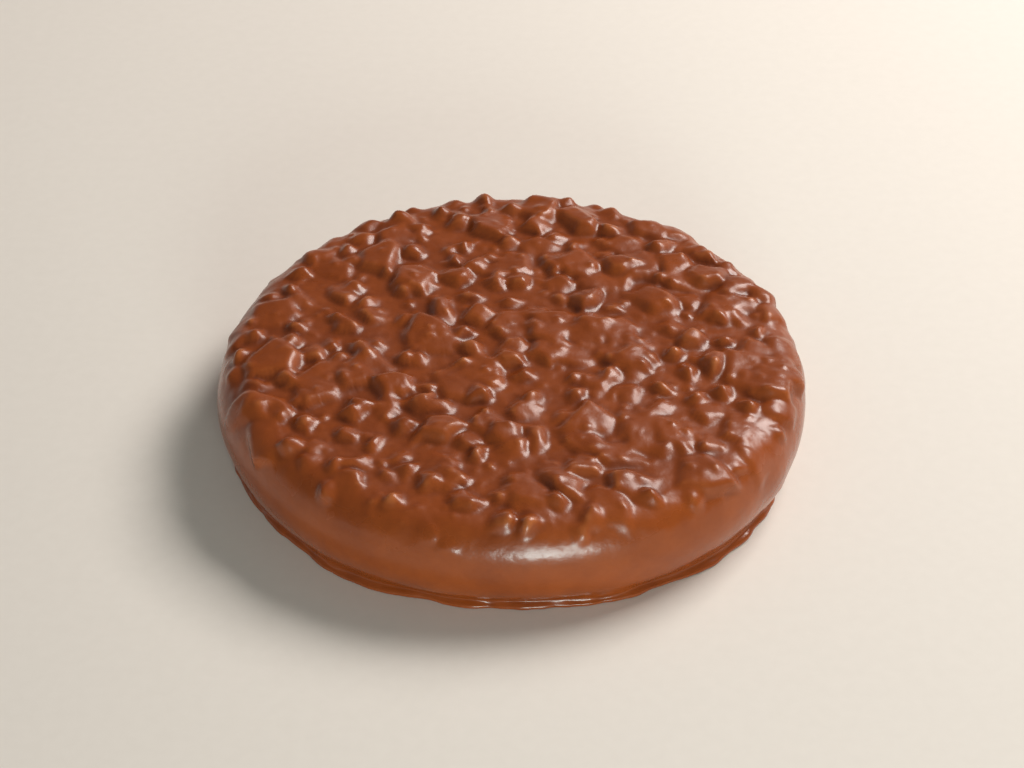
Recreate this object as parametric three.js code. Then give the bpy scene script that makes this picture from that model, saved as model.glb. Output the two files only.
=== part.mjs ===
// An almond chocolate disc: a thick round of milk chocolate with a rounded, smooth side, a thin foot lip
// round its flat base, and a lumpy face where chopped almonds stick up under their coat of chocolate.
// It lies flat on its base, face up. Millimetres, +Z up, with the origin at the middle of the base.

import * as THREE from "three";

// The disc
const DIAMETER = 48; // at the waist, the widest place of the rounded side
const FACE_HEIGHT = 7.8; // from the base to the edge of the face, without the almonds
const FACE_CROWN = 0.25; // how much higher the middle of the face is than its edge
const WAIST_HEIGHT = 4.1;
const SIDE_BULGE = 2.9; // from the edge of the face out to the waist
const NECK_TURN = THREE.MathUtils.degToRad(48); // how far round below the waist the side runs before the neck
const NECK_PULL = 0.45; // how far each end of the neck's hollow curve keeps its direction
const NECK_HEIGHT = 1.5; // below this height the side leans out and in with the foot lip
const LIP_RADIUS = 0.2; // of the foot lip's round edge
const LIP_INSET = 1.05; // from the waist in to the middle of that round
const LIP_TURN = THREE.MathUtils.degToRad(50); // how steeply the lip's top slopes outwards
const LIP_FADE = [2 * LIP_RADIUS, 4 * LIP_RADIUS]; // heights between which the lip ends and the neck begins

// The hand-made outline: waves round the disc, each by its number of bulges, its size and its place
const OUTLINE_WAVES = [
  { bulges: 2, size: 0.16, place: 0.5 },
  { bulges: 3, size: 0.11, place: 2.1 },
  { bulges: 5, size: 0.07, place: 4.0 },
  { bulges: 7, size: 0.04, place: 1.2 },
];
const LIP_WAVES = [
  { bulges: 4, size: 0.13, place: 3.3 },
  { bulges: 9, size: 0.11, place: 0.4 },
  { bulges: 14, size: 0.07, place: 5.1 },
  { bulges: 23, size: 0.04, place: 2.6 },
];

// Runs of chocolate that set on their way down the side and end in the foot lip
const RUN_COUNT = 7;
const RUN_SCATTER = 0.8; // how far round a run may lie from its place, in even steps
const RUN_WIDTH = [4, 8.5];
const RUN_HEIGHT = [0.06, 0.18];
const RUN_SPREAD = 2; // how far a run pushes out the foot lip, over its height
const RUN_SEED = 2114;

// The chopped almonds, laid out on the face as if the shoulder were rolled out flat with it
const CHIP_COUNT = 315;
const CHIP_REACH = 26; // from the middle of the face to the last chips, over the shoulder
const CHIP_SCATTER = 1.0; // how far a chip may lie from its place in the even spiral
const CHIP_LENGTH = [1.7, 4.9];
const CHIP_STRETCH = [0.5, 0.95]; // width over length
const CHIP_RISE = [0.25, 0.9]; // how far a chip stands out of the face
const CHIP_TIP = 0.42; // how much higher one end of a chip may lie than its middle
const CHIP_DOME = 0.12; // how far a chip's top falls from its middle to its ends
const CHIP_SIDES = 5;
const CHIP_SIDE_SCATTER = 0.7; // how unevenly those sides are turned, in even steps
const CHIP_SEED = 5309;
const CHIP_WALL = 1.8; // slope of a chip's sides under the coat
const CHIP_SINK = 1.4; // how much deeper the chips lie on the side, where none shows
const SINK_START = 21.4; // that depth begins and ends at these distances from the middle of the face
const SINK_END = 26;
const COAT_SOFTNESS = 0.62; // rounds the edges of a chip
const POOL_SOFTNESS = 0.5; // fills the corners between chips

// The surface
const FACE_SPACING = 0.78; // between the points of the lumpy face and the shoulder
const SIDE_SPACING = 1.1;
const SIDE_ROWS = 4;
const LIP_SPACING = 1.3; // on the neck and the foot lip
const NECK_ROWS = 3;
const LIP_ROWS = 2;
const BASE_RINGS = [
  { radius: 19, count: 36 },
  { radius: 11, count: 12 },
  { radius: 5, count: 3 },
];
const ROW_SHARE = Math.sqrt(3) / 2; // rows of even-sided triangles are this much closer than their points

const CHOCOLATE = { color: 0x96502b, roughness: 0.32, metalness: 0 };

const TURN = 2 * Math.PI;
const GOLDEN_TURN = Math.PI * (3 - Math.sqrt(5));
const DRAW_FACTOR = 16807; // a seeded draw goes from one whole number to the next by this factor,
const DRAW_RANGE = 2147483647; // modulo this prime

// Random numbers from 0 to 1 that come out the same every time.
function seededDraw(seed) {
  let state = seed;
  return () => {
    state = (state * DRAW_FACTOR) % DRAW_RANGE;
    return state / DRAW_RANGE;
  };
}

function between([low, high], share) {
  return low + (high - low) * share;
}

// The lesser of two heights, with the corner between them rounded off.
function softMin(a, b, softness) {
  const near = Math.max(softness - Math.abs(a - b), 0);
  return Math.min(a, b) - (near * near) / (4 * softness);
}

function softMax(a, b, softness) {
  return -softMin(-a, -b, softness);
}

function waves(list, angle) {
  return list.reduce((sum, wave) => sum + wave.size * Math.cos(wave.bulges * angle + wave.place), 0);
}

// The curve that goes on smoothly from the end of one curve to the start of another.
function hollow(before, after, pull) {
  const start = before.getPoint(1);
  const end = after.getPoint(0);
  const leave = start.clone().addScaledVector(before.getTangent(1), pull);
  const arrive = end.clone().addScaledVector(after.getTangent(0), -pull);
  return new THREE.CubicBezierCurve(start, leave, arrive, end);
}

// Half of the disc's cross-section, from the middle of the face over the side to the edge of the base:
// x is the distance from the axis and y the height.
function crossSection() {
  const faceRadius = DIAMETER / 2 - SIDE_BULGE;
  const lipMiddle = DIAMETER / 2 - LIP_INSET;
  const path = new THREE.Path();
  path.moveTo(0, FACE_HEIGHT + FACE_CROWN);
  path.quadraticCurveTo(faceRadius / 2, FACE_HEIGHT + FACE_CROWN, faceRadius, FACE_HEIGHT);
  path.absellipse(faceRadius, WAIST_HEIGHT, SIDE_BULGE, FACE_HEIGHT - WAIST_HEIGHT, Math.PI / 2, 0, true);
  const side = new THREE.EllipseCurve(
    faceRadius, WAIST_HEIGHT, SIDE_BULGE, WAIST_HEIGHT,
    0, -NECK_TURN, true,
  );
  const lip = new THREE.EllipseCurve(
    lipMiddle, LIP_RADIUS, LIP_RADIUS, LIP_RADIUS,
    LIP_TURN, -Math.PI / 2, true,
  );
  path.add(side);
  path.add(hollow(side, lip, NECK_PULL));
  path.add(lip);
  return path;
}

// Chips lie in a spiral that spreads them evenly, each moved a little at random. Most are short.
function choppedAlmonds() {
  const draw = seededDraw(CHIP_SEED);
  const chips = [];
  for (let i = 0; i < CHIP_COUNT; i++) {
    const reach = CHIP_REACH * Math.sqrt((i + 0.5) / CHIP_COUNT);
    const x = reach * Math.cos(i * GOLDEN_TURN) + CHIP_SCATTER * (2 * draw() - 1);
    const y = reach * Math.sin(i * GOLDEN_TURN) + CHIP_SCATTER * (2 * draw() - 1);
    const length = between(CHIP_LENGTH, draw() ** 2);
    const width = length * between(CHIP_STRETCH, draw());
    const sink = CHIP_SINK * THREE.MathUtils.smoothstep(Math.hypot(x, y), SINK_START, SINK_END);
    const rise = between(CHIP_RISE, draw()) - sink;
    const slope = CHIP_TIP / (length / 2);
    const tilt = [slope * (2 * draw() - 1), slope * (2 * draw() - 1)];
    const heading = TURN * draw();
    const sides = [];
    for (let side = 0; side < CHIP_SIDES; side++) {
      const turned = (TURN * (side + CHIP_SIDE_SCATTER * (draw() - 0.5))) / CHIP_SIDES;
      const distance = Math.hypot((length / 2) * Math.cos(turned), (width / 2) * Math.sin(turned));
      sides.push({ x: Math.cos(heading + turned), y: Math.sin(heading + turned), distance });
    }
    chips.push({ x, y, length, rise, tilt, sides });
  }
  return chips;
}

// How high a chip's coated top is over the point (x, y) of the rolled-out face. Past its sides it sinks.
function chipHeight(chip, x, y) {
  const dx = x - chip.x;
  const dy = y - chip.y;
  const dome = (CHIP_DOME * (dx * dx + dy * dy)) / (chip.length / 2) ** 2;
  let height = chip.rise - dome + chip.tilt[0] * dx + chip.tilt[1] * dy;
  for (const side of chip.sides) {
    const wall = CHIP_WALL * (side.distance - dx * side.x - dy * side.y);
    height = softMin(height, wall, COAT_SOFTNESS);
  }
  return height;
}

function almondRelief(chips, along, angle) {
  const x = along * Math.cos(angle);
  const y = along * Math.sin(angle);
  let height = 0;
  for (const chip of chips) {
    if (Math.hypot(x - chip.x, y - chip.y) > chip.length) continue;
    height = softMax(height, chipHeight(chip, x, y), POOL_SOFTNESS);
  }
  return height;
}

function chocolateRuns() {
  const draw = seededDraw(RUN_SEED);
  return Array.from({ length: RUN_COUNT }, (_, i) => ({
    angle: (TURN * (i + RUN_SCATTER * draw())) / RUN_COUNT,
    width: between(RUN_WIDTH, draw()),
    height: between(RUN_HEIGHT, draw()),
  }));
}

// A run is a low round ridge that starts under the shoulder.
function runRelief(runs, along, angle) {
  const start = THREE.MathUtils.smoothstep(along, SINK_START, SINK_END);
  let height = 0;
  for (const run of runs) {
    const away = Math.abs(THREE.MathUtils.euclideanModulo(angle - run.angle + Math.PI, TURN) - Math.PI);
    const across = (away * DIAMETER) / run.width;
    if (across < 1) height += run.height * (1 - across * across) ** 2;
  }
  return start * height;
}

// One ring of surface points, `along` mm down the cross-section from the middle of the face.
function surfaceRing(path, along, count, twist, chips, runs) {
  const share = along / path.getLength();
  const at = path.getPoint(share);
  const tangent = path.getTangent(share);
  const below = along > SINK_END ? 1 : 0;
  const onLip = below * (1 - THREE.MathUtils.smoothstep(at.y, ...LIP_FADE));
  const onNeck = below * (1 - THREE.MathUtils.smoothstep(at.y, LIP_FADE[0], NECK_HEIGHT));
  const points = [];
  for (let k = 0; k < count; k++) {
    const angle = (TURN * (k + twist)) / count;
    const run = runRelief(runs, along, angle);
    const out = almondRelief(chips, along, angle) + (1 - onLip) * run;
    const wave = (waves(OUTLINE_WAVES, angle) * at.x) / (DIAMETER / 2);
    const spread = onNeck * (waves(LIP_WAVES, angle) + RUN_SPREAD * run);
    const radius = at.x - tangent.y * out + wave + spread;
    points.push([radius * Math.cos(angle), radius * Math.sin(angle), at.y + tangent.x * out]);
  }
  return { points, twist };
}

// A ring of the flat base, which follows the outline waves on a smaller scale.
function baseRing({ radius, count }) {
  const points = [];
  for (let k = 0; k < count; k++) {
    const angle = (TURN * k) / count;
    const reach = radius + (waves(OUTLINE_WAVES, angle) * radius) / (DIAMETER / 2);
    points.push([reach * Math.cos(angle), reach * Math.sin(angle), 0]);
  }
  return { points, twist: 0 };
}

// Where the rings of the surface lie along the cross-section: even rows over the face and shoulder, then a
// few each for the side, the neck and the foot lip.
function ringPlaces(path) {
  const [sideEnd, neckEnd, lipEnd] = path.getCurveLengths().slice(-3);
  const places = [];
  for (let along = 0; along < SINK_END; along += FACE_SPACING * ROW_SHARE) {
    places.push({ along, spacing: FACE_SPACING });
  }
  const addRows = (end, rows, spacing) => {
    const start = places[places.length - 1].along;
    for (let row = 1; row <= rows; row++) {
      places.push({ along: start + ((end - start) * row) / rows, spacing });
    }
  };
  addRows(sideEnd, SIDE_ROWS, SIDE_SPACING);
  addRows(neckEnd, NECK_ROWS, LIP_SPACING);
  addRows(lipEnd, LIP_ROWS, LIP_SPACING);
  return places;
}

// The band of triangles between two rings. Each step goes on along the ring that lags behind.
function joinRings(inner, outer, firstInner, firstOuter, faces) {
  const innerCount = inner.points.length;
  const outerCount = outer.points.length;
  let i = 0;
  let o = 0;
  while (i < innerCount || o < outerCount) {
    const innerNext = (i + 1 + inner.twist) / innerCount;
    const outerNext = (o + 1 + outer.twist) / outerCount;
    const a = firstInner + (i % innerCount);
    const b = firstOuter + (o % outerCount);
    if (o >= outerCount || (i < innerCount && innerNext < outerNext)) {
      i++;
      const c = firstInner + (i % innerCount);
      if (c !== a) faces.push(a, b, c);
    } else {
      o++;
      faces.push(a, b, firstOuter + (o % outerCount));
    }
  }
}

function discGeometry() {
  const path = crossSection();
  const chips = choppedAlmonds();
  const runs = chocolateRuns();
  const rings = ringPlaces(path).map(({ along, spacing }, index) => {
    const radius = path.getPoint(along / path.getLength()).x;
    const count = Math.max(1, Math.round((TURN * radius) / spacing));
    return surfaceRing(path, along, count, (index % 2) / 2, chips, runs);
  });
  rings.push(...BASE_RINGS.map(baseRing));

  const positions = [];
  const faces = [];
  const firsts = rings.map((ring) => {
    const first = positions.length / 3;
    positions.push(...ring.points.flat());
    return first;
  });
  for (let k = 1; k < rings.length; k++) {
    joinRings(rings[k - 1], rings[k], firsts[k - 1], firsts[k], faces);
  }
  // The last ring of the base has three points, so one triangle closes it.
  const last = firsts[firsts.length - 1];
  faces.push(last, last + 2, last + 1);

  const geometry = new THREE.BufferGeometry();
  geometry.setAttribute("position", new THREE.Float32BufferAttribute(positions, 3));
  geometry.setIndex(faces);
  geometry.computeBoundingBox();
  const middle = geometry.boundingBox.getCenter(new THREE.Vector3());
  geometry.translate(-middle.x, -middle.y, 0);
  geometry.computeVertexNormals();
  return geometry;
}

const disc = new THREE.Mesh(discGeometry(), new THREE.MeshStandardMaterial(CHOCOLATE));
disc.name = "chocolate_disc";

const group = new THREE.Group();
group.add(disc);

export default group;
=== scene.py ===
"""An almond chocolate disc, dressed for its picture.

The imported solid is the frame. One fine mesh of the same form takes its place: the same cross-section, the
same chopped almonds and the same runs of chocolate, on a mesh four times as fine. Crumbs of almond and the
small waves of the set chocolate are added, and the peaks are rounded. The form is worked out in millimetres
and made in metres. The floor, the lamps and the camera are in metres.
"""

import math

import bpy
import numpy as np
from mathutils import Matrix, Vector, noise


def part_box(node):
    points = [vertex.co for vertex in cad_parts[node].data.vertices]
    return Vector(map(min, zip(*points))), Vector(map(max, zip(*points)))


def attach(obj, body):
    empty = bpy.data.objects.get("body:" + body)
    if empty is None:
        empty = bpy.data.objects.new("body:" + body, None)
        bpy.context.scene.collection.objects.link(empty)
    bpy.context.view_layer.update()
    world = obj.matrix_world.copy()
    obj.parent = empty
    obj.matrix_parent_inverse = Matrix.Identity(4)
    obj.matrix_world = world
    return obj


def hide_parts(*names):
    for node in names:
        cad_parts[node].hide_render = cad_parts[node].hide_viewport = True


MM = 0.001
TURN = 2 * math.pi
GOLDEN_TURN = math.pi * (3 - math.sqrt(5))

# A seeded draw goes from one whole number to the next by this factor, modulo this prime
DRAW_FACTOR = 16807
DRAW_RANGE = 2147483647

# The disc, in mm, as in the solid
DIAMETER = 48  # at the waist, the widest place of the rounded side
FACE_HEIGHT = 7.8  # from the base to the edge of the face, without the almonds
FACE_CROWN = 0.25  # how much higher the middle of the face is than its edge
WAIST_HEIGHT = 4.1
SIDE_BULGE = 2.9  # from the edge of the face out to the waist
NECK_TURN = math.radians(48)  # how far round below the waist the side runs before the neck
NECK_PULL = 0.45  # how far each end of the neck's hollow curve keeps its direction
NECK_HEIGHT = 1.5  # below this height the side leans out and in with the foot lip
LIP_RADIUS = 0.2  # of the foot lip's round edge
LIP_INSET = 1.05  # from the waist in to the middle of that round
LIP_TURN = math.radians(50)  # how far above its level that round begins
LIP_FADE = (2 * LIP_RADIUS, 4 * LIP_RADIUS)  # heights between which the lip ends and the neck begins

# Waves round the disc: bulges, size, place
OUTLINE_WAVES = [(2, 0.16, 0.5), (3, 0.11, 2.1), (5, 0.07, 4.0), (7, 0.04, 1.2)]
LIP_WAVES = [(4, 0.13, 3.3), (9, 0.11, 0.4), (14, 0.07, 5.1), (23, 0.04, 2.6)]

# Runs of chocolate that set on their way down the side and end in the foot lip
RUN_COUNT = 7
RUN_SCATTER = 0.8  # how far round a run may lie from its place, in even steps
RUN_WIDTH = (4, 8.5)
RUN_HEIGHT = (0.06, 0.18)
RUN_SPREAD = 2  # a run pushes the foot lip out by this many times its own height
RUN_SEED = 2114

# The chopped almonds, laid out on the face as if the shoulder were rolled out flat with it
CHIP_COUNT = 315
CHIP_REACH = 26  # from the middle of the face to the last chips, over the shoulder
CHIP_SCATTER = 1.0  # how far a chip may lie from its place in the even spiral
CHIP_LENGTH = (1.7, 4.9)
CHIP_STRETCH = (0.5, 0.95)  # width over length
CHIP_RISE = (0.25, 0.9)  # how far a chip stands out of the face
CHIP_TIP = 0.42  # how much higher one end of a chip may lie than its middle
CHIP_DOME = 0.12  # how far a chip's top falls from its middle to its ends
CHIP_SIDES = 5
CHIP_SIDE_SCATTER = 0.7  # how unevenly those sides are turned, in even steps
CHIP_SEED = 5309
CHIP_WALL = 1.8  # slope of a chip's sides under the coat
CHIP_SINK = 1.4  # how much deeper the chips lie on the side, where none shows
SINK_START = 21.4  # they begin to sink at this distance from the middle of the face
SINK_END = 26  # and lie all that deeper from this one on
COAT_SOFTNESS = 0.62  # rounds the edges of a chip
POOL_SOFTNESS = 0.5  # fills the corners between chips

# Crumbs between the chips, which only this mesh is fine enough to show
CRUMB_COUNT = 800
CRUMB_LENGTH = (0.7, 1.5)
CRUMB_RISE = (0.05, 0.25)
CRUMB_SCATTER = 0.9
CRUMB_SEED = 8861
CRUMB_SOFTNESS = 0.2

# The set chocolate is never quite even: size of the unevenness and how far apart it lies, on the lumpy
# face, on the smooth side, and in the reach and the thickness of the foot lip
FACE_UNEVENNESS = [(0.07, 2.2), (0.035, 0.8)]
SIDE_UNEVENNESS = [(0.07, 6.0), (0.012, 1.1)]
LIP_UNEVENNESS = [(0.22, 3.1), (0.1, 1.2)]
LIP_SWELLING = [(0.2, 2.6), (0.07, 1.0)]

# Rounds of evening out: of the relief, as the coat runs off the peaks, and of the measured crests
MELT_ROUNDS = 3
CREST_ROUNDS = 2

# The mesh
CURVE_POINTS = 400  # in each curve of the cross-section
FACE_SPACING = 0.19  # between the points of the lumpy face and the shoulder
SIDE_SPACING = 0.3  # round the side, the neck and the foot lip
SIDE_ROWS = 14
NECK_ROWS = 10
LIP_ROWS = 8
BASE_ROWS = 14
BASE_SPACING = 1.0
ROW_SHARE = math.sqrt(3) / 2  # rows of even-sided triangles are this much closer than their points

# Linear colours of the chocolate
MILK_DARK = (0.22, 0.043, 0.0066)
MILK_LIGHT = (0.295, 0.061, 0.009)
# Painted shade: darker chocolate laid into the hollows between the chips, where shade falls
PAINTED_CREVICE_SHADE = (0.12, 0.021, 0.0035)
# Paler chocolate on the crests: partly the thin coat over an almond, partly a painted highlight on the tips
THIN_COAT_AND_HIGHLIGHT = (0.43, 0.125, 0.035)

# The crest values over which the painted shade in the crevices and the paler thin coat with its painted
# highlight come in, and the most that they cover
CREVICE_SHADE_CRESTS = (0.0, -0.105)
CREVICE_SHADE_SHARE = 0.6
THIN_AND_HIGHLIGHT_CRESTS = (0.038, 0.13)
THIN_AND_HIGHLIGHT_SHARE = 0.75

# Noise over the surfaces: waves in a metre, detail, roughness
MOTTLE_NOISE = (240, 4, 0.6)
PATCH_NOISE = (420, 2, 0.5)
STREAK_NOISE = (330, 3, 0.55)
DIMPLE_NOISE = (1400, 2, 0.5)
GRAIN_NOISE = (5200, 2, 0.5)
PAPER_NOISE = (900, 3, 0.5)
NOISE_SPAN = (0.3, 0.7)  # most of the noise lies in it
PATCH_SPAN = (0.45, 0.65)  # patches of the thin coat and its painted highlight come in over it

# The skin of the chocolate
SIDE_ROUGHNESS = (0.19, 0.26)
FACE_ROUGHNESS = (0.27, 0.4)
DIMPLE_DEPTH = 0.03 * MM
GRAIN_DEPTH = 0.004 * MM
CHOCOLATE_IOR = 1.47

# The floor, in metres. Its glow is painted light that the floor gives off itself where the lamps don't
# reach, and it grows between these distances from the middle of the disc
FLOOR_HALF = 1.5
FLOOR_DROP = 0.02 * MM
FLOOR_DARK = (0.8, 0.738, 0.672)
FLOOR_LIGHT = (0.84, 0.778, 0.712)
FLOOR_ROUGHNESS = 0.75
PAINTED_GLOW_DISTANCES = (0.1, 0.32)
PAINTED_GLOW_STRENGTH = 0.5

# The room's light at the horizon and higher up, and the sines of the elevations between which it changes
ROOM_COLOUR = (1, 0.95, 0.885)
ROOM_STRENGTHS = (0.75, 0.14)
ROOM_HEIGHTS = (0.08, 0.25)

# The lamps: the key at the upper right, and a low one in front for the streak on the smooth side
KEY_LAMP = {
    "location": (0.2, 0.16, 0.25),
    "size": (0.2, 0.15),
    "power": 1.37,
    "colour": (1, 0.96, 0.92),
    "spread": math.pi,
}
STREAK_LAMP = {
    "location": (0.06, -0.34, 0.07),
    "size": (0.12, 0.09),
    "power": 0.115,
    "colour": (0.84, 1, 0.97),
    "spread": math.radians(70),
}

# The camera looks down on the disc from the front, so that both its side and its face show
TARGET = (0, 0, 0.004)
CAMERA_ELEVATION = math.radians(38)
CAMERA_DISTANCE = 0.2
CAMERA_LENS = 85
CAMERA_SENSOR = 36

NODE = "chocolate_disc"

# Where a Mix node has its two colours and their mix, as sockets of several kinds share those names
MIX_COLOURS = (6, 7)
MIX_RESULT = 2


def seeded_draw(seed):
    """Random numbers from 0 to 1 that come out the same every time."""
    state = seed
    while True:
        state = state * DRAW_FACTOR % DRAW_RANGE
        yield state / DRAW_RANGE


def between(limits, share):
    return limits[0] + (limits[1] - limits[0]) * share


def smoothstep(x, low, high):
    t = np.clip((x - low) / (high - low), 0.0, 1.0)
    return t * t * (3 - 2 * t)


def soft_min(a, b, softness):
    """The lesser of two heights, with the corner between them rounded off."""
    near = np.maximum(softness - np.abs(a - b), 0)
    return np.minimum(a, b) - near * near / (4 * softness)


def soft_max(a, b, softness):
    return -soft_min(-a, -b, softness)


def waves(kinds, angle):
    return sum(size * np.cos(bulges * angle + place) for bulges, size, place in kinds)


def round_the_axis(radius, angle, height):
    """Points at these distances from the disc's axis, angles and heights."""
    return np.column_stack((radius * np.cos(angle), radius * np.sin(angle), height))


# ---- the cross-section -------------------------------------------------------------------------------


def ellipse_arc(middle, radii, start, end):
    turned = np.linspace(start, end, CURVE_POINTS)
    return np.column_stack((middle[0] + radii[0] * np.cos(turned), middle[1] + radii[1] * np.sin(turned)))


def quadratic(start, control, end):
    t = np.linspace(0, 1, CURVE_POINTS)[:, None]
    start, control, end = (np.array(p, float) for p in (start, control, end))
    return (1 - t) ** 2 * start + 2 * t * (1 - t) * control + t**2 * end


def hollow(before, after, pull):
    """The curve that goes on smoothly from the end of one run of points to the start of another."""
    t = np.linspace(0, 1, CURVE_POINTS)[:, None]
    leave = before[-1] - before[-2]
    arrive = after[1] - after[0]
    first = before[-1] + pull * leave / np.hypot(*leave)
    second = after[0] - pull * arrive / np.hypot(*arrive)
    ends = (1 - t) ** 3 * before[-1] + t**3 * after[0]
    return ends + 3 * t * (1 - t) ** 2 * first + 3 * t**2 * (1 - t) * second


class CrossSection:
    """Half of the disc's section as close points, from the middle of the face to the edge of the base."""

    def __init__(self):
        face = DIAMETER / 2 - SIDE_BULGE
        lip = DIAMETER / 2 - LIP_INSET
        top = FACE_HEIGHT + FACE_CROWN
        upper = (SIDE_BULGE, FACE_HEIGHT - WAIST_HEIGHT)
        lower = (SIDE_BULGE, WAIST_HEIGHT)
        side = ellipse_arc((face, WAIST_HEIGHT), lower, 0, -NECK_TURN)
        foot = ellipse_arc((lip, LIP_RADIUS), (LIP_RADIUS, LIP_RADIUS), LIP_TURN, -math.pi / 2)
        parts = [
            quadratic((0, top), (face / 2, top), (face, FACE_HEIGHT)),
            ellipse_arc((face, WAIST_HEIGHT), upper, math.pi / 2, 0)[1:],
            side[1:],
            hollow(side, foot, NECK_PULL)[1:],
            foot[1:],
        ]
        self.points = np.vstack(parts)
        steps = np.hypot(*np.diff(self.points, axis=0).T)
        self.along = np.concatenate(([0], np.cumsum(steps)))
        self.tangents = np.gradient(self.points, self.along, axis=0)
        self.tangents /= np.hypot(*self.tangents.T)[:, None]
        ends = np.cumsum([len(part) for part in parts]) - 1
        self.side_end, self.neck_end, self.lip_end = self.along[ends[-3:]]

    def at(self, along):
        """(distance from the axis, height, tangent outwards, tangent upwards)"""
        columns = (self.points[:, 0], self.points[:, 1], self.tangents[:, 0], self.tangents[:, 1])
        return tuple(np.interp(along, self.along, column) for column in columns)


# ---- almonds, crumbs and runs ------------------------------------------------------------------------


def scattered_chips(count, scatter, lengths, rises, seed):
    """Chips lie in a spiral that spreads them evenly, each moved a little at random. Most are short."""
    numbers = seeded_draw(seed)

    def draw():
        return next(numbers)

    chips = []
    for i in range(count):
        reach = CHIP_REACH * math.sqrt((i + 0.5) / count)
        x = reach * math.cos(i * GOLDEN_TURN) + scatter * (2 * draw() - 1)
        y = reach * math.sin(i * GOLDEN_TURN) + scatter * (2 * draw() - 1)
        length = between(lengths, draw() ** 2)
        width = length * between(CHIP_STRETCH, draw())
        rise = between(rises, draw()) - CHIP_SINK * smoothstep(math.hypot(x, y), SINK_START, SINK_END)
        slope = CHIP_TIP / (length / 2)
        tilt = (slope * (2 * draw() - 1), slope * (2 * draw() - 1))
        heading = TURN * draw()
        sides = []
        for side in range(CHIP_SIDES):
            turned = TURN * (side + CHIP_SIDE_SCATTER * (draw() - 0.5)) / CHIP_SIDES
            distance = math.hypot(length / 2 * math.cos(turned), width / 2 * math.sin(turned))
            sides.append((math.cos(heading + turned), math.sin(heading + turned), distance))
        chips.append({"x": x, "y": y, "length": length, "rise": rise, "tilt": tilt, "sides": sides})
    return chips


def chip_height(chip, dx, dy):
    """How high a chip's coated top is, at offsets from its middle. Past its sides it sinks."""
    dome = CHIP_DOME * (dx * dx + dy * dy) / (chip["length"] / 2) ** 2
    height = chip["rise"] - dome + chip["tilt"][0] * dx + chip["tilt"][1] * dy
    for side_x, side_y, distance in chip["sides"]:
        wall = CHIP_WALL * (distance - dx * side_x - dy * side_y)
        height = soft_min(height, wall, COAT_SOFTNESS)
    return height


def chips_height(chips, x, y, softness):
    """How high these chips lie over the face together, with the corners between them filled."""
    height = np.zeros_like(x)
    for chip in chips:
        dx = x - chip["x"]
        dy = y - chip["y"]
        near = np.hypot(dx, dy) <= chip["length"]
        height[near] = soft_max(height[near], chip_height(chip, dx[near], dy[near]), softness)
    return height


def evened(values, faces, rounds):
    """Each round moves every point's value halfway to the mean of its neighbours' values."""
    neighbours = np.bincount(faces.ravel(), minlength=len(values))
    for _ in range(rounds):
        total = sum(np.bincount(faces[:, k], values[faces[:, (k + 1) % 3]], len(values)) for k in range(3))
        values = (values + total / neighbours) / 2
    return values


def almond_relief(along, angle, faces):
    """The coated almonds and crumbs, laid out as if the shoulder were rolled out flat with the face."""
    x = along * np.cos(angle)
    y = along * np.sin(angle)
    chips = scattered_chips(CHIP_COUNT, CHIP_SCATTER, CHIP_LENGTH, CHIP_RISE, CHIP_SEED)
    crumbs = scattered_chips(CRUMB_COUNT, CRUMB_SCATTER, CRUMB_LENGTH, CRUMB_RISE, CRUMB_SEED)
    relief = chips_height(chips, x, y, POOL_SOFTNESS) + chips_height(crumbs, x, y, CRUMB_SOFTNESS)
    return evened(relief, faces, MELT_ROUNDS)


def run_relief(along, angle):
    """Low round ridges that start under the shoulder."""
    numbers = seeded_draw(RUN_SEED)
    height = np.zeros_like(angle)
    for i in range(RUN_COUNT):
        place = TURN * (i + RUN_SCATTER * next(numbers)) / RUN_COUNT
        width = between(RUN_WIDTH, next(numbers))
        rise = between(RUN_HEIGHT, next(numbers))
        away = np.abs((angle - place + math.pi) % TURN - math.pi)
        across = np.minimum(away * DIAMETER / width, 1)
        height += rise * (1 - across * across) ** 2
    return smoothstep(along, SINK_START, SINK_END) * height


def unevenness(points, kinds):
    """Smooth random waves over the surface, as the sum of each (size, distance apart)."""
    total = np.zeros(len(points))
    for size, apart in kinds:
        total += [size * noise.noise(point) for point in points / apart]
    return total


# ---- the fine mesh, in rings of (first point, count, twist) --------------------------------------------


def ring_places(section):
    """(place along the section, spacing of the points) of each ring, from the middle of the face."""
    face_step = FACE_SPACING * ROW_SHARE
    places = [(row * face_step, FACE_SPACING) for row in range(math.ceil(SINK_END / face_step))]
    below = [(section.side_end, SIDE_ROWS), (section.neck_end, NECK_ROWS), (section.lip_end, LIP_ROWS)]
    for end, rows in below:
        places += [(place, SIDE_SPACING) for place in np.linspace(places[-1][0], end, rows + 1)[1:]]
    return places


def skin_rings(section):
    """The rings of the face, side and foot lip, with each point's place along the section and its angle."""
    rings, along, angle = [], [], []
    first = 0
    for index, (place, spacing) in enumerate(ring_places(section)):
        radius = float(section.at(place)[0])
        count = max(1, round(TURN * radius / spacing))
        twist = (index % 2) / 2
        rings.append((first, count, twist))
        along.append(np.full(count, place))
        angle.append(TURN * (np.arange(count) + twist) / count)
        first += count
    return rings, np.concatenate(along), np.concatenate(angle)


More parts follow.
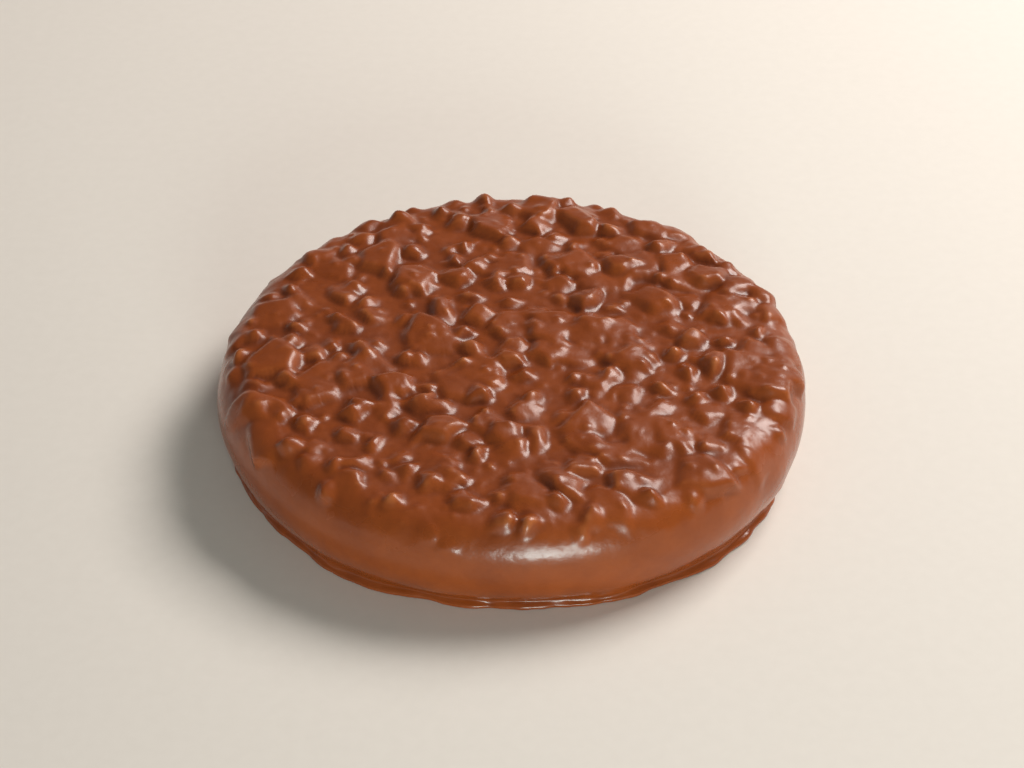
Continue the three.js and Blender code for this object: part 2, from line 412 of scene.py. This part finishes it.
def skin_points(section, along, angle, relief):
    """The points of those rings in mm, and how much each belongs to the lumpy face, from 0 to 1."""
    radius, height, outward, upward = section.at(along)
    plain = round_the_axis(radius, angle, height)
    runs = run_relief(along, angle)
    below = along > SINK_END
    on_lip = below * (1 - smoothstep(height, *LIP_FADE))
    on_neck = below * (1 - smoothstep(height, LIP_FADE[0], NECK_HEIGHT))
    lumpy = 1 - smoothstep(along, SINK_START, SINK_END)

    uneven = lumpy * unevenness(plain, FACE_UNEVENNESS)
    uneven += (1 - lumpy) * (1 - on_lip) * unevenness(plain, SIDE_UNEVENNESS)
    uneven += on_lip * np.minimum(height / LIP_RADIUS, 1) * unevenness(plain, LIP_SWELLING)
    out = relief + (1 - on_lip) * runs + uneven

    wave = waves(OUTLINE_WAVES, angle) * radius / (DIAMETER / 2)
    spread = on_neck * (waves(LIP_WAVES, angle) + RUN_SPREAD * runs)
    spread += on_lip * unevenness(plain, LIP_UNEVENNESS)
    reach = radius - upward * out + wave + spread
    return round_the_axis(reach, angle, height + outward * out), lumpy


def base_rings(edge_radius, first):
    """The rings of the flat base from its edge inwards, and their points."""
    rings, points = [], []
    for row in range(1, BASE_ROWS):
        share = 1 - row / BASE_ROWS
        count = round(TURN * edge_radius * share / BASE_SPACING)
        angle = TURN * np.arange(count) / count
        reach = edge_radius * share + waves(OUTLINE_WAVES, angle) * share
        rings.append((first, count, 0))
        points.append(round_the_axis(reach, angle, 0 * angle))
        first += count
    return rings, np.vstack(points)


def band(inner, outer):
    """The triangles between a ring and the next one."""
    first_a, count_a, twist_a = inner
    first_b, count_b, twist_b = outer
    turned_a = (np.arange(1, count_a + 1) + twist_a) / count_a
    turned_b = (np.arange(1, count_b + 1) + twist_b) / count_b
    triangles = []
    if count_a > 1:
        i = np.arange(count_a)
        o = np.searchsorted(turned_b, turned_a, side="right") % count_b
        triangles.append(np.column_stack((first_a + i, first_b + o, first_a + (i + 1) % count_a)))
    o = np.arange(count_b)
    i = np.searchsorted(turned_a, turned_b, side="left") % count_a
    triangles.append(np.column_stack((first_a + i, first_b + o, first_b + (o + 1) % count_b)))
    return np.vstack(triangles)


def bands(rings):
    return np.vstack([band(*pair) for pair in zip(rings, rings[1:])])


def fan(ring, middle):
    """The triangles between the last ring and the middle point."""
    first, count, _ = ring
    k = np.arange(count)
    return np.column_stack((first + k, np.full(count, middle), first + (k + 1) % count))


def disc_surface():
    """The points in mm, the triangles, and how much each point belongs to the lumpy face, from 0 to 1."""
    section = CrossSection()
    rings, along, angle = skin_rings(section)
    skin_faces = bands(rings)
    skin, lumpy = skin_points(section, along, angle, almond_relief(along, angle, skin_faces))
    inner_rings, base = base_rings(section.points[-1, 0], len(skin))
    points = np.vstack((skin, base, [[0, 0, 0]]))
    base_faces = bands([rings[-1], *inner_rings])
    last_faces = fan(inner_rings[-1], len(points) - 1)
    lumpy = np.concatenate((lumpy, np.zeros(len(points) - len(skin))))
    return points, np.vstack((skin_faces, base_faces, last_faces)), lumpy


def crests(points, faces):
    """How far each point stands out from its neighbours along the normal, over their distance."""
    corners = points[faces]
    normals = np.cross(corners[:, 1] - corners[:, 0], corners[:, 2] - corners[:, 0])
    normal, pull, span = (np.zeros((len(points), width)) for width in (3, 3, 1))
    for k in range(3):
        np.add.at(normal, faces[:, k], normals)
        edge = corners[:, (k + 1) % 3] - corners[:, k]
        np.add.at(pull, faces[:, k], edge)
        np.add.at(span, faces[:, k], np.linalg.norm(edge, axis=1, keepdims=True))
    normal /= np.linalg.norm(normal, axis=1, keepdims=True)
    return -(pull * normal).sum(axis=1) / span[:, 0]


def make_disc():
    points, faces, lumpy = disc_surface()
    low, high = (np.array(corner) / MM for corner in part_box(NODE))
    middle = (points.min(axis=0) + points.max(axis=0)) / 2
    points[:, :2] += ((low + high) / 2 - middle)[:2]
    crest = evened(crests(points, faces), faces, CREST_ROUNDS)
    mesh = bpy.data.meshes.new("almond_disc")
    mesh.from_pydata((points * MM).tolist(), [], faces.tolist())
    mesh.polygons.foreach_set("use_smooth", np.ones(len(faces), bool))
    for name, values in {"lumpy": lumpy, "crest": crest}.items():
        mesh.attributes.new(name, "FLOAT", "POINT").data.foreach_set("value", values)
    mesh.materials.append(chocolate_material())
    mesh.update()
    disc = bpy.data.objects.new("almond_disc", mesh)
    bpy.context.scene.collection.objects.link(disc)
    return disc


# ---- materials ---------------------------------------------------------------------------------------


def new_material(name):
    material = bpy.data.materials.new(name)
    material.use_nodes = True
    tree = material.node_tree
    return material, tree, tree.nodes["Principled BSDF"]


def add_node(tree, kind, inputs=None, **settings):
    node = tree.nodes.new(kind)
    for name, value in settings.items():
        setattr(node, name, value)
    for name, value in (inputs or {}).items():
        socket = node.inputs[name]
        if isinstance(value, bpy.types.NodeSocket):
            tree.links.new(value, socket)
        else:
            socket.default_value = value
    return node


def noise_of(tree, place, kind):
    scale, detail, roughness = kind
    inputs = {"Vector": place, "Scale": scale, "Detail": detail, "Roughness": roughness}
    return add_node(tree, "ShaderNodeTexNoise", inputs).outputs["Fac"]


def remap(tree, value, span, to=(0, 1)):
    """Goes from to[0] to to[1] while the value crosses the span, and stays level past its ends."""
    inputs = {"Value": value}
    inputs["From Min"], inputs["From Max"] = span
    inputs["To Min"], inputs["To Max"] = to
    return add_node(tree, "ShaderNodeMapRange", inputs).outputs["Result"]


def product(tree, a, b):
    return add_node(tree, "ShaderNodeMath", {0: a, 1: b}, operation="MULTIPLY").outputs["Value"]


def mix_colours(tree, share, a, b):
    node = add_node(tree, "ShaderNodeMix", {"Factor": share}, data_type="RGBA")
    for place, value in zip(MIX_COLOURS, (a, b)):
        if isinstance(value, bpy.types.NodeSocket):
            tree.links.new(value, node.inputs[place])
        else:
            node.inputs[place].default_value = (*value, 1)
    return node.outputs[MIX_RESULT]


def bumped(tree, height, distance, normal=None):
    inputs = {"Height": height, "Distance": distance}
    if normal is not None:
        inputs["Normal"] = normal
    return add_node(tree, "ShaderNodeBump", inputs).outputs["Normal"]


def chocolate_material():
    """Milk chocolate: mottled brown, with painted shade in the crevices, and paler on the crests, partly
    where it lies thin over an almond and partly as a painted highlight.
    """
    material, tree, shader = new_material("milk_chocolate")
    place = add_node(tree, "ShaderNodeTexCoord").outputs["Object"]
    crest = add_node(tree, "ShaderNodeAttribute", attribute_name="crest").outputs["Fac"]
    lumpy = add_node(tree, "ShaderNodeAttribute", attribute_name="lumpy").outputs["Fac"]

    mottled = remap(tree, noise_of(tree, place, MOTTLE_NOISE), NOISE_SPAN)
    body = mix_colours(tree, mottled, MILK_DARK, MILK_LIGHT)
    # Painted shade: the hollows are darkened towards the crevice colour
    painted_shade = remap(tree, crest, CREVICE_SHADE_CRESTS, (0, CREVICE_SHADE_SHARE))
    body = mix_colours(tree, painted_shade, body, PAINTED_CREVICE_SHADE)
    # Paler on the crests, in patches: partly the thin coat over an almond, partly a painted highlight
    patchy = remap(tree, noise_of(tree, place, PATCH_NOISE), PATCH_SPAN)
    thin_and_highlight = product(tree, remap(tree, crest, THIN_AND_HIGHLIGHT_CRESTS, (0, THIN_AND_HIGHLIGHT_SHARE)), patchy)
    body = mix_colours(tree, product(tree, thin_and_highlight, lumpy), body, THIN_COAT_AND_HIGHLIGHT)
    tree.links.new(body, shader.inputs["Base Color"])

    streaks = noise_of(tree, place, STREAK_NOISE)
    smooth_side = remap(tree, streaks, NOISE_SPAN, SIDE_ROUGHNESS)
    rough_face = remap(tree, streaks, NOISE_SPAN, FACE_ROUGHNESS)
    roughness = add_node(tree, "ShaderNodeMix", {"Factor": lumpy, "A": smooth_side, "B": rough_face})
    tree.links.new(roughness.outputs["Result"], shader.inputs["Roughness"])

    grain = bumped(tree, noise_of(tree, place, GRAIN_NOISE), GRAIN_DEPTH)
    dimples = bumped(tree, noise_of(tree, place, DIMPLE_NOISE), DIMPLE_DEPTH, grain)
    tree.links.new(dimples, shader.inputs["Normal"])
    shader.inputs["IOR"].default_value = CHOCOLATE_IOR
    return material


def floor_material():
    """Cream paper with a painted glow: it gives off light a little far from the disc, where the lamps don't
    reach it.
    """
    material, tree, shader = new_material("cream_floor")
    place = add_node(tree, "ShaderNodeTexCoord").outputs["Object"]
    body = mix_colours(tree, noise_of(tree, place, PAPER_NOISE), FLOOR_DARK, FLOOR_LIGHT)
    tree.links.new(body, shader.inputs["Base Color"])
    shader.inputs["Roughness"].default_value = FLOOR_ROUGHNESS
    # Painted light: the floor gives off more light the farther it lies from the disc
    away = add_node(tree, "ShaderNodeVectorMath", {0: place}, operation="LENGTH").outputs["Value"]
    painted_glow = remap(tree, away, PAINTED_GLOW_DISTANCES, (0, PAINTED_GLOW_STRENGTH))
    tree.links.new(painted_glow, shader.inputs["Emission Strength"])
    shader.inputs["Emission Color"].default_value = (*ROOM_COLOUR, 1)
    return material


# ---- the set -----------------------------------------------------------------------------------------


def make_floor():
    corners = [(-1, -1), (1, -1), (1, 1), (-1, 1)]
    mesh = bpy.data.meshes.new("floor")
    mesh.from_pydata([(x * FLOOR_HALF, y * FLOOR_HALF, 0) for x, y in corners], [], [(0, 1, 2, 3)])
    mesh.materials.append(floor_material())
    floor = bpy.data.objects.new("floor", mesh)
    floor.location.z = -FLOOR_DROP
    bpy.context.scene.collection.objects.link(floor)


def aim(thing):
    thing.rotation_euler = (Vector(TARGET) - thing.location).to_track_quat("-Z", "Y").to_euler()


def soft_box(name, location, size, power, colour, spread):
    light = bpy.data.lights.new(name, "AREA")
    light.shape = "RECTANGLE"
    light.size, light.size_y = size
    light.energy = power
    light.color = colour
    light.spread = spread
    lamp = bpy.data.objects.new(name, light)
    lamp.location = location
    aim(lamp)
    bpy.context.scene.collection.objects.link(lamp)


def make_room():
    """Dim cream all round, and pale along the horizon, where a low view looks past the floor."""
    world = bpy.data.worlds.new("room")
    world.use_nodes = True
    tree = world.node_tree
    towards = add_node(tree, "ShaderNodeTexCoord").outputs["Generated"]
    upwards = add_node(tree, "ShaderNodeSeparateXYZ", {"Vector": towards}).outputs["Z"]
    background = tree.nodes["Background"]
    background.inputs["Color"].default_value = (*ROOM_COLOUR, 1)
    tree.links.new(remap(tree, upwards, ROOM_HEIGHTS, ROOM_STRENGTHS), background.inputs["Strength"])
    bpy.context.scene.world = world


def make_camera():
    camera = bpy.data.objects.new("camera", bpy.data.cameras.new("camera"))
    camera.data.lens = CAMERA_LENS
    camera.data.sensor_width = CAMERA_SENSOR
    back = CAMERA_DISTANCE * math.cos(CAMERA_ELEVATION)
    up = CAMERA_DISTANCE * math.sin(CAMERA_ELEVATION)
    camera.location = Vector(TARGET) + Vector((0, -back, up))
    aim(camera)
    bpy.context.scene.collection.objects.link(camera)
    bpy.context.scene.camera = camera


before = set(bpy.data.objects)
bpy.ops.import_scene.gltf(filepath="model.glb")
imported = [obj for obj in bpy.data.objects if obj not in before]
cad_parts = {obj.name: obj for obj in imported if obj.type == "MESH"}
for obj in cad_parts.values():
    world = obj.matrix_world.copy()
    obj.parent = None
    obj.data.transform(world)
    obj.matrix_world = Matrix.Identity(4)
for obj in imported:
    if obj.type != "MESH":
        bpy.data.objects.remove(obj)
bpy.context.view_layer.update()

make_camera()
disc = make_disc()
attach(disc, "root")
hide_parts(NODE)

make_floor()
soft_box("key", **KEY_LAMP)
soft_box("streak", **STREAK_LAMP)
make_room()
bpy.context.scene.view_settings.view_transform = "Standard"
